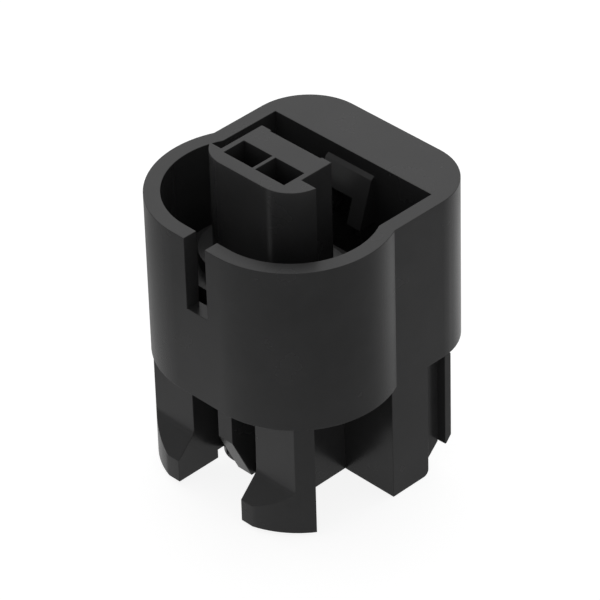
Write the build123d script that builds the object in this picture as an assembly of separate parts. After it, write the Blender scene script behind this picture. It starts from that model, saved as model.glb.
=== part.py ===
"""Two-way connector housing, moulded in one piece.

A deep shell, round in front and squarish behind, stands on legs. Inside it a keyed tower
holds two terminal cavities, and a catch on the pocket's rear wall locks the mating half.

Sizes are millimetres. While it is built, the tower's axis is at x = 0, y = 0, the front
is towards -y and z = 0 is the surface that the housing stands on.
"""
import os

from build123d import *

# Shell: an open cup with round ends, its wall and its floor
leg_height = 15.45
shell_height = 21.55
shell_wall = 1.95
shell_floor = 1.9
end_radius = 11.9
end_spread = 3.5
slot_width = 3.3
slot_depth = 9.55

# Squarish block behind the shell, with a pocket that joins the bore
block_inset = 1.1
block_back = 20.05
block_corner = 7.35
rear_thickness = 7.15
rear_rib = 1.6

# Tower with its keying wings, of unequal depth
tower_rise = 5.4
tower_radius = 4.33
tower_half_width = 5.48
tower_back = 4.2
left_wing_cut = 2.15
right_wing_cut = 0.5
back_recess = 0.2
back_recess_width = 7.95

# Terminal cavities, and the round wire entries below them
cavity_pitch = 5.0
cavity_width = 4.5
cavity_length = 3.12
cavity_front = 2.46
entry_radius = 2.15
entry_depth = 11.4
boss_radius = 3.6
boss_axis_front = 1.55

# Collar at the tower's foot and the core that carries it
collar_drop = 7.9
collar_ledge = 1.77
core_drop = 9.5
core_gap = 1.9
core_wall = 1.9

# Catch on the pocket's rear wall
catch_left = 3.87
catch_right = 3.48
catch_drop = 1.7
catch_bevel_drop = 0.38
catch_bevel_reach = 0.53
catch_reach = 2.5
catch_height = 6.35
window_left = 1.9
window_right = 1.3
window_height = 3.02

# Front legs with outward feet
leg_inner = 5.12
leg_front = 8.6
leg_thickness = 1.75
leg_inset = 0.2
foot_inset = 0.7
foot_height = 3.0
foot_ramp = 2.7
foot_blend = 1.4
foot_lift = 0.6

# Webs that run back from the front legs, with a raised step in their lower edge
web_thickness = 1.38
step_front = 4.95
step_back = 2.0
step_lift = 1.75

# Middle plate between the wire bosses
plate_thickness = 2.26
plate_front = 8.45
plate_nose_height = 6.15
plate_nose_depth = 2.85

# Cross wall and rear legs, with a groove and a thin rear plate
cross_wall_front = 4.25
cross_wall_thickness = 1.75
rear_leg_thickness = 3.0
rear_leg_round = 0.8
groove_width = 2.8
groove_depth = 1.2
groove_chamfer = 2.65
rear_plate_thickness = 1.0
rear_plate_lift = 2.85
rear_plate_bevel = 0.76
rear_plate_bevel_height = 0.92

# Levels and radii that follow from those sizes
rim = leg_height + shell_height
floor_top = leg_height + shell_floor
tower_top = rim + tower_rise
bore_radius = end_radius - shell_wall
core_radius = bore_radius - core_gap
collar_radius = tower_radius + collar_ledge
side_limit = end_spread + end_radius
block_half_width = side_limit - block_inset
pocket_half_width = block_half_width - shell_wall
pocket_back = block_back - rear_thickness
web_outer = leg_inner + web_thickness
leg_back = leg_front - leg_thickness


def box(x, y, z):
    """A box between two values on each axis."""
    low = (x[0], y[0], z[0])
    return Pos(*low) * Box(x[1] - x[0], y[1] - y[0], z[1] - z[0], align=(Align.MIN,) * 3)


def obround(radius, bottom, top):
    """A prism with round ends, centred on the tower's axis."""
    outline = SlotCenterToCenter(2 * end_spread, 2 * radius)
    return extrude(Pos(0, 0, bottom) * outline, top - bottom)


def side_profile(x, *points):
    """An outline of (y, z) points carried along x between two values."""
    outline = Plane.YZ.offset(x[0]) * Polygon(*points, align=None)
    return extrude(outline, x[1] - x[0], dir=(1, 0, 0))


def both_sides(shape):
    """The shape with its mirror image across the middle plane."""
    return shape + mirror(shape, about=Plane.YZ)


def make_shell():
    """Cup with a round-ended bore, a rectangular rear pocket and a slot in front."""
    block_length = block_back + block_corner
    block_outline = RectangleRounded(2 * block_half_width, block_length, block_corner)
    block = extrude(Pos(0, block_back - block_length / 2, leg_height) * block_outline, shell_height)
    bore = obround(bore_radius, floor_top, rim)
    pocket = box((-pocket_half_width, pocket_half_width), (0, pocket_back), (floor_top, rim))
    slot = box((-slot_width / 2, slot_width / 2), (-end_radius, 0), (rim - slot_depth, rim))
    return obround(end_radius, leg_height, rim) + block - bore - pocket - slot


def make_core():
    """Core inside the bore, with the collar on top of it."""
    core = obround(core_radius, leg_height, rim - core_drop)
    return core + obround(collar_radius, leg_height, rim - collar_drop)


def make_tower():
    """Tower whose round front ends in two wings, cut off at unequal depths."""
    front = obround(tower_radius, leg_height, tower_top)
    behind = (leg_height, tower_top)
    reach = end_spread + tower_radius
    left_cut = box((-reach, 0), (-left_wing_cut, tower_radius), behind)
    right_cut = box((0, reach), (-right_wing_cut, tower_radius), behind)
    stem = box((-tower_half_width, tower_half_width), (-left_wing_cut, tower_back), behind)
    recess = box(
        (-back_recess_width / 2, back_recess_width / 2),
        (tower_back - back_recess, tower_back),
        (rim - collar_drop, tower_top),
    )
    return front - left_cut - right_cut + stem - recess


def make_catch():
    """Wedge on the pocket's rear wall, with a window that leaves two legs and a crossbar."""
    top = rim - catch_drop
    bottom = top - catch_height
    face_top = top - catch_bevel_drop
    wedge = side_profile(
        (-catch_left, catch_right),
        (pocket_back + shell_wall / 2, top),
        (pocket_back, top),
        (pocket_back - catch_bevel_reach, face_top),
        (pocket_back - catch_reach, bottom),
        (pocket_back + shell_wall / 2, bottom),
    )
    window = box(
        (-window_left, window_right),
        (pocket_back - catch_reach, pocket_back),
        (bottom, bottom + window_height),
    )
    return wedge - window


def make_front_legs():
    """Plates below the shell's front, with feet that ramp outwards under its round wall."""
    foot_front = end_radius - foot_inset
    foot_top = foot_lift + foot_height
    leg = side_profile(
        (leg_inner, side_limit),
        (-leg_back, floor_top),
        (-leg_back, foot_lift),
        (-foot_front, foot_lift),
        (-foot_front, foot_top),
        (-leg_front, foot_top + foot_ramp),
        (-leg_front, floor_top),
    )
    ramp_top = leg.edges().filter_by(Axis.X).sort_by_distance((leg_inner, -leg_front, foot_top + foot_ramp))
    leg = fillet(ramp_top[0], foot_blend)
    return both_sides(leg & obround(end_radius - leg_inset, 0, floor_top))


def make_webs():
    """Walls from the front legs back to the cross wall, on either side of the wires."""
    web = side_profile(
        (leg_inner, web_outer),
        (-leg_back, floor_top),
        (-leg_back, foot_lift),
        (-step_front, foot_lift),
        (-step_front, step_lift),
        (-step_back, step_lift),
        (-step_back, 0),
        (cross_wall_front, 0),
        (cross_wall_front, floor_top),
    )
    return both_sides(web)


def make_middle():
    """Middle plate with a sloping nose, and the two bosses that the wires enter."""
    nose_top = step_lift + plate_nose_height
    plate = side_profile(
        (-plate_thickness / 2, plate_thickness / 2),
        (-plate_front, floor_top),
        (-plate_front, nose_top),
        (-plate_front + plate_nose_depth, step_lift),
        (cross_wall_front, step_lift),
        (cross_wall_front, floor_top),
    )
    boss = extrude(Circle(boss_radius), floor_top - step_lift)
    return plate + both_sides(Pos(cavity_pitch / 2, -boss_axis_front, step_lift) * boss)


def make_cross_wall():
    """Wall across the whole width, raised between the webs."""
    back = cross_wall_front + cross_wall_thickness
    depth = (cross_wall_front, back)
    wall = box((-block_half_width, block_half_width), depth, (0, floor_top))
    return wall - box((-leg_inner, leg_inner), depth, (0, step_lift))


def make_rear_legs():
    """Side legs flush with the block, a groove behind each, and a thin plate between them."""
    groove_front = pocket_back - groove_width
    inner = block_half_width - rear_leg_thickness
    leg = box((inner, block_half_width), (cross_wall_front, groove_front), (0, floor_top))
    heel = leg.edges().filter_by(Axis.X).sort_by(lambda edge: edge.center().Y - edge.center().Z)[-1]
    leg = fillet(heel, rear_leg_round)
    groove_wall = side_profile(
        (inner, block_half_width - groove_depth),
        (groove_front - rear_leg_round, floor_top),
        (groove_front - rear_leg_round, rear_leg_round),
        (pocket_back - groove_chamfer + rear_leg_round, rear_leg_round),
        (pocket_back, groove_chamfer),
        (pocket_back, floor_top),
    )
    plate_back = pocket_back + rear_plate_thickness
    plate = side_profile(
        (-block_half_width, block_half_width),
        (pocket_back, leg_height),
        (pocket_back, rear_plate_lift),
        (plate_back - rear_plate_bevel, rear_plate_lift),
        (plate_back, rear_plate_lift + rear_plate_bevel_height),
        (plate_back, leg_height),
    )
    return both_sides(leg + groove_wall) + plate


def make_cavities():
    """Terminal cavities from the tower's top, meeting round wire entries from below."""
    entry_top = step_lift + entry_depth
    middle = cavity_pitch / 2
    half_width = cavity_width / 2
    cavity = box(
        (middle - half_width, middle + half_width),
        (-cavity_front, cavity_length - cavity_front),
        (entry_top, tower_top),
    )
    entry = Pos(middle, -boss_axis_front, 0) * extrude(Circle(entry_radius), entry_top)
    return both_sides(cavity + entry)


def make_hollows():
    """Hollows, open below, that thin the rear wall and either end of the core."""
    front = pocket_back + shell_wall
    back = block_back - shell_wall
    corner = min(block_corner - shell_wall, 0.95 * (back - front), 0.95 * pocket_half_width)
    rear = box((rear_rib / 2, pocket_half_width), (front, back), (leg_height, rim - shell_wall))
    edges = rear.edges().filter_by(Axis.Z).sort_by(lambda edge: edge.center().X + edge.center().Y)
    core_top = rim - core_drop - core_wall
    core = obround(core_radius - core_wall, leg_height, core_top)
    middle = box((-web_outer, web_outer), (-core_radius, core_radius), (leg_height, core_top))
    return both_sides(fillet(edges[-1], corner)) + (core - middle)


inside = make_core() + make_tower() + make_catch()
below = make_front_legs() + make_webs() + make_middle() + make_cross_wall() + make_rear_legs()
housing = make_shell() + inside + below - make_cavities() - make_hollows()

# The finished part's origin is below the middle of its outline
outline_middle = (block_back - end_radius) / 2
housing = Pos(0, -outline_middle, 0) * housing

os.makedirs("parts", exist_ok=True)
export_step(housing, "parts/housing.step")
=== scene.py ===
from math import cos, radians, sin

import bmesh
import bpy
import numpy as np
from mathutils import Matrix, Vector


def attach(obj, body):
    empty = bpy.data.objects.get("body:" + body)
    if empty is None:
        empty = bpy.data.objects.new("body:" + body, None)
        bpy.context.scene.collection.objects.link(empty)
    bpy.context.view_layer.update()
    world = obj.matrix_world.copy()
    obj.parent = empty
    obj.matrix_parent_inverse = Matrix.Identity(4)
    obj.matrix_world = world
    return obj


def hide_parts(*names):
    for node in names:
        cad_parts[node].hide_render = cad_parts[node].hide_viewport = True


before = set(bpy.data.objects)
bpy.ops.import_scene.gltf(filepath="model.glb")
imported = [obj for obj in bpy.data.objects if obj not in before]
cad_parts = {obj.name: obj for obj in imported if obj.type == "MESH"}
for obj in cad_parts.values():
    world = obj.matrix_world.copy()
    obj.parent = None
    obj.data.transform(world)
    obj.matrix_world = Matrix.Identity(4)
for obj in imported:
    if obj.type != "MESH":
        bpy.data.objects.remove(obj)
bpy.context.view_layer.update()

mm = 0.001

# The view of the photograph, found by fitting a perspective camera to the housing's edges.
# The camera looks down at one front corner, through a long lens and with a slight tilt.
view_azimuth = 46.06
view_elevation = 35.86
view_tilt = -1.71
view_distance = 486.4 * mm
view_point = Vector((6.78, -6.585, 27.84)) * mm
sensor_width = 36.0
lens_length = 262.0


def camera_axes(azimuth, elevation, tilt):
    """Right, up and backward axes of a camera that looks down from that side, then tilts."""
    turn = radians(azimuth)
    rise = radians(elevation)
    backward = Vector((sin(turn) * cos(rise), -cos(turn) * cos(rise), sin(rise)))
    level = Vector((cos(turn), sin(turn), 0.0))
    upright = backward.cross(level)
    lean = radians(tilt)
    return cos(lean) * level + sin(lean) * upright, cos(lean) * upright - sin(lean) * level, backward


right, up, backward = camera_axes(view_azimuth, view_elevation, view_tilt)
camera_data = bpy.data.cameras.new("camera")
camera_data.sensor_width = sensor_width
camera_data.lens = lens_length
camera_data.clip_start = 10 * mm
camera = bpy.data.objects.new("camera", camera_data)
turned = Matrix((right, up, backward)).transposed().to_4x4()
camera.matrix_world = Matrix.Translation(view_point + view_distance * backward) @ turned
bpy.context.scene.collection.objects.link(camera)
bpy.context.scene.camera = camera


# The housing is one injection moulding in black plastic, straight from a steel tool.
# Its outer edges aren't knife-sharp: each has a radius of about a tenth of a millimetre.
# The catch's sloping face is slightly crowned, so that the light on it fades downwards.
edge_radius = 0.07 * mm
edge_steps = 2
crease_angle = radians(22)
strip_angle = radians(50)
flat_angle = radians(0.4)
weld_distance = 0.002 * mm
catch_low = np.array([-3.9, 6.2, 28.9]) * mm
catch_high = np.array([3.5, 8.85, 35.35]) * mm
catch_crown = radians(17)
catch_face_outwards = 0.9
catch_face_upwards = 0.2
reflectance = 0.32
refraction = 1.5
mottle_per_metre = 180.0
mottle_detail = 4.0
mottle_low = 0.3
mottle_high = 0.7
darkest_black = (0.028, 0.028, 0.0285, 1)
lightest_black = (0.034, 0.034, 0.0345, 1)
glossiest = 0.23
dullest = 0.28
draw_lines_per_metre = 4000.0
draw_line_detail = 2.0
draw_line_squash = (1.0, 1.0, 0.02)
draw_line_strength = 0.15
draw_line_depth = 0.003 * mm
grains_per_metre = 9000.0
grain_detail = 3.0
grain_strength = 0.3
grain_depth = 0.004 * mm


def shade_corners(data, is_strip):
    """Gives each face corner the area-weighted mean normal of the faces round its point.

    A main face counts only main faces within the crease angle, so flat walls stay flat.
    An edge's rounded strip counts all faces within the wider strip angle, so it blends in.
    """
    corner_face = np.repeat(np.arange(len(data.polygons)), face_values(data, "loop_total", int))
    corner_point = np.empty(len(data.loops), int)
    data.loops.foreach_get("vertex_index", corner_point)
    order = np.argsort(corner_point, kind="stable")
    point = corner_point[order]
    face = corner_face[order]
    normal = face_values(data, "normal", float).reshape(-1, 3)[face]
    weighted = normal * face_values(data, "area", float)[face, None]
    strip = is_strip[face]
    reach = np.cos(np.where(strip, strip_angle, crease_angle))
    total = weighted.copy()
    for step in range(1, np.bincount(point).max()):
        alike = (normal[step:] * normal[:-step]).sum(axis=1)
        meet = point[step:] == point[:-step]
        later = meet & (alike > reach[step:]) & (strip[step:] | ~strip[:-step])
        earlier = meet & (alike > reach[:-step]) & (strip[:-step] | ~strip[step:])
        total[step:][later] += weighted[:-step][later]
        total[:-step][earlier] += weighted[step:][earlier]
    corner_normal = np.empty_like(total)
    corner_normal[order] = total / np.linalg.norm(total, axis=1, keepdims=True)
    place = np.empty(len(data.vertices) * 3)
    data.vertices.foreach_get("co", place)
    crown_catch(corner_normal, place.reshape(-1, 3)[corner_point])
    data.normals_split_custom_set(corner_normal.tolist())


def crown_catch(normal, place):
    """Leans the normals of the catch's sloping face back.

    The lean grows in step with height, from nothing at the face's foot to the crown's angle.
    """
    inside = ((place > catch_low) & (place < catch_high)).all(axis=1)
    sloping = (normal[:, 1] < -catch_face_outwards) & (normal[:, 2] > catch_face_upwards)
    face = inside & sloping
    lean = catch_crown * (place[face, 2] - catch_low[2]) / (catch_high[2] - catch_low[2])
    y, z = normal[face, 1], normal[face, 2]
    normal[face, 1] = y * np.cos(lean) + z * np.sin(lean)
    normal[face, 2] = z * np.cos(lean) - y * np.sin(lean)


def face_values(data, name, kind):
    """One value, or one vector's three values, for each face of a mesh."""
    width = 3 if name == "normal" else 1
    values = np.empty(len(data.polygons) * width, kind)
    data.polygons.foreach_get(name, values)
    return values


def softened_copy(node, name):
    """A copy of a solid's mesh, welded, with flat areas joined and outer creases rounded."""
    mesh = bmesh.new()
    mesh.from_mesh(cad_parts[node].data)
    bmesh.ops.remove_doubles(mesh, verts=mesh.verts, dist=weld_distance)
    bmesh.ops.dissolve_limit(mesh, angle_limit=flat_angle, verts=mesh.verts, edges=mesh.edges)
    creases = [
        edge
        for edge in mesh.edges
        if edge.is_convex and edge.calc_face_angle(0.0) > crease_angle
    ]
    strips = bmesh.ops.bevel(
        mesh,
        geom=creases,
        offset=edge_radius,
        segments=edge_steps,
        profile=0.5,
        affect="EDGES",
        clamp_overlap=False,
    )["faces"]
    mesh.faces.index_update()
    is_strip = np.zeros(len(mesh.faces), bool)
    is_strip[[face.index for face in strips]] = True
    for face in mesh.faces:
        face.smooth = True
    data = bpy.data.meshes.new(name)
    mesh.to_mesh(data)
    mesh.free()
    shade_corners(data, is_strip)
    piece = bpy.data.objects.new(name, data)
    bpy.context.scene.collection.objects.link(piece)
    return piece


def moulded_black(name):
    """Black plastic: fine spark-eroded grain, faint draw lines up the walls, uneven gloss."""
    material = bpy.data.materials.new(name)
    material.use_nodes = True
    nodes = material.node_tree.nodes
    links = material.node_tree.links
    surface = nodes["Principled BSDF"]
    surface.inputs["Specular IOR Level"].default_value = reflectance
    surface.inputs["IOR"].default_value = refraction
    place = nodes.new("ShaderNodeTexCoord")

    mottle = nodes.new("ShaderNodeTexNoise")
    mottle.inputs["Scale"].default_value = mottle_per_metre
    mottle.inputs["Detail"].default_value = mottle_detail
    links.new(place.outputs["Object"], mottle.inputs["Vector"])
    colour = nodes.new("ShaderNodeValToRGB")
    colour.color_ramp.elements[0].position = mottle_low
    colour.color_ramp.elements[0].color = darkest_black
    colour.color_ramp.elements[1].position = mottle_high
    colour.color_ramp.elements[1].color = lightest_black
    links.new(mottle.outputs["Fac"], colour.inputs["Fac"])
    links.new(colour.outputs["Color"], surface.inputs["Base Color"])

    gloss = nodes.new("ShaderNodeMapRange")
    gloss.inputs["From Min"].default_value = mottle_low
    gloss.inputs["From Max"].default_value = mottle_high
    gloss.inputs["To Min"].default_value = glossiest
    gloss.inputs["To Max"].default_value = dullest
    links.new(mottle.outputs["Fac"], gloss.inputs["Value"])
    links.new(gloss.outputs["Result"], surface.inputs["Roughness"])

    stretch = nodes.new("ShaderNodeMapping")
    stretch.inputs["Scale"].default_value = draw_line_squash
    links.new(place.outputs["Object"], stretch.inputs["Vector"])
    draw_lines = nodes.new("ShaderNodeTexNoise")
    draw_lines.inputs["Scale"].default_value = draw_lines_per_metre
    draw_lines.inputs["Detail"].default_value = draw_line_detail
    links.new(stretch.outputs["Vector"], draw_lines.inputs["Vector"])
    grain = nodes.new("ShaderNodeTexNoise")
    grain.inputs["Scale"].default_value = grains_per_metre
    grain.inputs["Detail"].default_value = grain_detail
    links.new(place.outputs["Object"], grain.inputs["Vector"])
    lines_bump = nodes.new("ShaderNodeBump")
    lines_bump.inputs["Strength"].default_value = draw_line_strength
    lines_bump.inputs["Distance"].default_value = draw_line_depth
    links.new(draw_lines.outputs["Fac"], lines_bump.inputs["Height"])
    grain_bump = nodes.new("ShaderNodeBump")
    grain_bump.inputs["Strength"].default_value = grain_strength
    grain_bump.inputs["Distance"].default_value = grain_depth
    links.new(grain.outputs["Fac"], grain_bump.inputs["Height"])
    links.new(lines_bump.outputs["Normal"], grain_bump.inputs["Normal"])
    links.new(grain_bump.outputs["Normal"], surface.inputs["Normal"])
    return material


housing = softened_copy("housing", "housing_moulding")
housing.data.materials.clear()
housing.data.materials.append(moulded_black("moulded_black_plastic"))
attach(housing, "root")
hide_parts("housing")


# The floor is a plain pale sheet under the housing's legs, seen as white, with a soft shadow.
# Only the camera's own rays get that white. Mirror rays don't see the lit sheet: they see a painted
# reflection, a glow at a plain level with two painted brighter patches, one in front of the housing
# and one behind it.
floor_half = 0.6
floor_reflectance = 0.85
white_strength = 1.34
white_share = 0.65
# Painted reflection: the glow that mirror rays see on the floor, and its two painted brighter
# patches.
painted_reflection_level = 0.33
front_painted_patch_middle = (-5 * mm, -22 * mm, 0)
front_painted_patch_reach = 60 * mm
front_painted_patch_gain = 0.27
rear_painted_patch_middle = (10 * mm, 50 * mm, 0)
rear_painted_patch_reach = 50 * mm
rear_painted_patch_gain = 0.46


def painted_light_patch(nodes, links, place, middle, reach, gain):
    """A painted light patch: a gain round a middle point, which falls smoothly to nothing at the
    reach.
    """
    distance = nodes.new("ShaderNodeVectorMath")
    distance.operation = "DISTANCE"
    distance.inputs[1].default_value = middle
    links.new(place.outputs["Object"], distance.inputs[0])
    patch = nodes.new("ShaderNodeMapRange")
    patch.interpolation_type = "SMOOTHSTEP"
    patch.inputs["From Max"].default_value = reach
    patch.inputs["To Min"].default_value = gain
    patch.inputs["To Max"].default_value = 0.0
    links.new(distance.outputs["Value"], patch.inputs["Value"])
    return patch.outputs["Result"]


def pale_floor_with_painted_reflection():
    """Diffuse sheet with a white glow for the camera, and a painted reflection for mirror rays: a
    plain glow with painted brighter patches.
    """
    material = bpy.data.materials.new("pale_floor_with_painted_reflection")
    material.use_nodes = True
    nodes = material.node_tree.nodes
    links = material.node_tree.links
    nodes.clear()
    output = nodes.new("ShaderNodeOutputMaterial")
    diffuse = nodes.new("ShaderNodeBsdfDiffuse")
    diffuse.inputs["Color"].default_value = (*[floor_reflectance] * 3, 1)
    white = nodes.new("ShaderNodeEmission")
    white.inputs["Strength"].default_value = white_strength
    path = nodes.new("ShaderNodeLightPath")
    share = nodes.new("ShaderNodeMath")
    share.operation = "MULTIPLY"
    share.inputs[1].default_value = white_share
    links.new(path.outputs["Is Camera Ray"], share.inputs[0])
    seen_sheet = nodes.new("ShaderNodeMixShader")
    links.new(share.outputs["Value"], seen_sheet.inputs["Fac"])
    links.new(diffuse.outputs["BSDF"], seen_sheet.inputs[1])
    links.new(white.outputs["Emission"], seen_sheet.inputs[2])

    # Painted reflection: mirror rays see a glow at a plain level plus two painted brighter patches,
    # not the lit sheet.
    place = nodes.new("ShaderNodeTexCoord")
    front_painted_glow = painted_light_patch(nodes, links, place, front_painted_patch_middle, front_painted_patch_reach, front_painted_patch_gain)
    rear_painted_glow = painted_light_patch(nodes, links, place, rear_painted_patch_middle, rear_painted_patch_reach, rear_painted_patch_gain)
    with_front = nodes.new("ShaderNodeMath")
    with_front.inputs[0].default_value = painted_reflection_level
    links.new(front_painted_glow, with_front.inputs[1])
    with_both = nodes.new("ShaderNodeMath")
    links.new(with_front.outputs["Value"], with_both.inputs[0])
    links.new(rear_painted_glow, with_both.inputs[1])
    painted_reflection = nodes.new("ShaderNodeEmission")
    links.new(with_both.outputs["Value"], painted_reflection.inputs["Strength"])
    chosen = nodes.new("ShaderNodeMixShader")
    links.new(path.outputs["Is Glossy Ray"], chosen.inputs["Fac"])
    links.new(seen_sheet.outputs["Shader"], chosen.inputs[1])
    links.new(painted_reflection.outputs["Emission"], chosen.inputs[2])
    links.new(chosen.outputs["Shader"], output.inputs["Surface"])
    return material


floor_corners = floor_half * np.array([[-1, -1, 0], [1, -1, 0], [1, 1, 0], [-1, 1, 0]])
floor_data = bpy.data.meshes.new("floor")
floor_data.from_pydata(floor_corners.tolist(), [], [(0, 1, 2, 3)])
floor = bpy.data.objects.new("floor", floor_data)
floor.data.materials.append(pale_floor_with_painted_reflection())
bpy.context.scene.collection.objects.link(floor)


# Plain studio walls with a darker ceiling, and a bright wall behind and above.
# The housing's level faces mirror that wall, so they are lighter than its upright ones.
low_level = 0.5
overhead_level = 0.32
low_until = 0.52
overhead_from = 0.75
bright_wall_side = Vector((-0.58, 0.56, 0.59))
bright_wall_level = 1.14
bright_wall_start = 0.45
bright_wall_full = 0.9

world = bpy.data.worlds.new("surround")
world.use_nodes = True
bpy.context.scene.world = world
sky_nodes = world.node_tree.nodes
sky_links = world.node_tree.links
sky = sky_nodes["Background"]
sky.inputs["Color"].default_value = (1, 1, 1, 1)
direction = sky_nodes.new("ShaderNodeTexCoord")

height = sky_nodes.new("ShaderNodeSeparateXYZ")
sky_links.new(direction.outputs["Generated"], height.inputs["Vector"])
walls = sky_nodes.new("ShaderNodeMapRange")
walls.interpolation_type = "SMOOTHSTEP"
walls.inputs["From Min"].default_value = low_until
walls.inputs["From Max"].default_value = overhead_from
walls.inputs["To Min"].default_value = low_level
walls.inputs["To Max"].default_value = overhead_level
sky_links.new(height.outputs["Z"], walls.inputs["Value"])

towards_wall = sky_nodes.new("ShaderNodeVectorMath")
towards_wall.operation = "DOT_PRODUCT"
towards_wall.inputs[1].default_value = bright_wall_side.normalized()
sky_links.new(direction.outputs["Generated"], towards_wall.inputs[0])
bright_wall = sky_nodes.new("ShaderNodeMapRange")
bright_wall.interpolation_type = "SMOOTHSTEP"
bright_wall.inputs["From Min"].default_value = bright_wall_start
bright_wall.inputs["From Max"].default_value = bright_wall_full
bright_wall.inputs["To Max"].default_value = bright_wall_level
sky_links.new(towards_wall.outputs["Value"], bright_wall.inputs["Value"])
sky_links.new(walls.outputs["Result"], bright_wall.inputs["To Min"])

seen = sky_nodes.new("ShaderNodeLightPath")
sky_level = sky_nodes.new("ShaderNodeMapRange")
sky_level.inputs["To Max"].default_value = 1.0
sky_links.new(seen.outputs["Is Camera Ray"], sky_level.inputs["Value"])
sky_links.new(bright_wall.outputs["Result"], sky_level.inputs["To Min"])
sky_links.new(sky_level.outputs["Result"], sky.inputs["Strength"])

bpy.context.scene.view_settings.view_transform = "Standard"
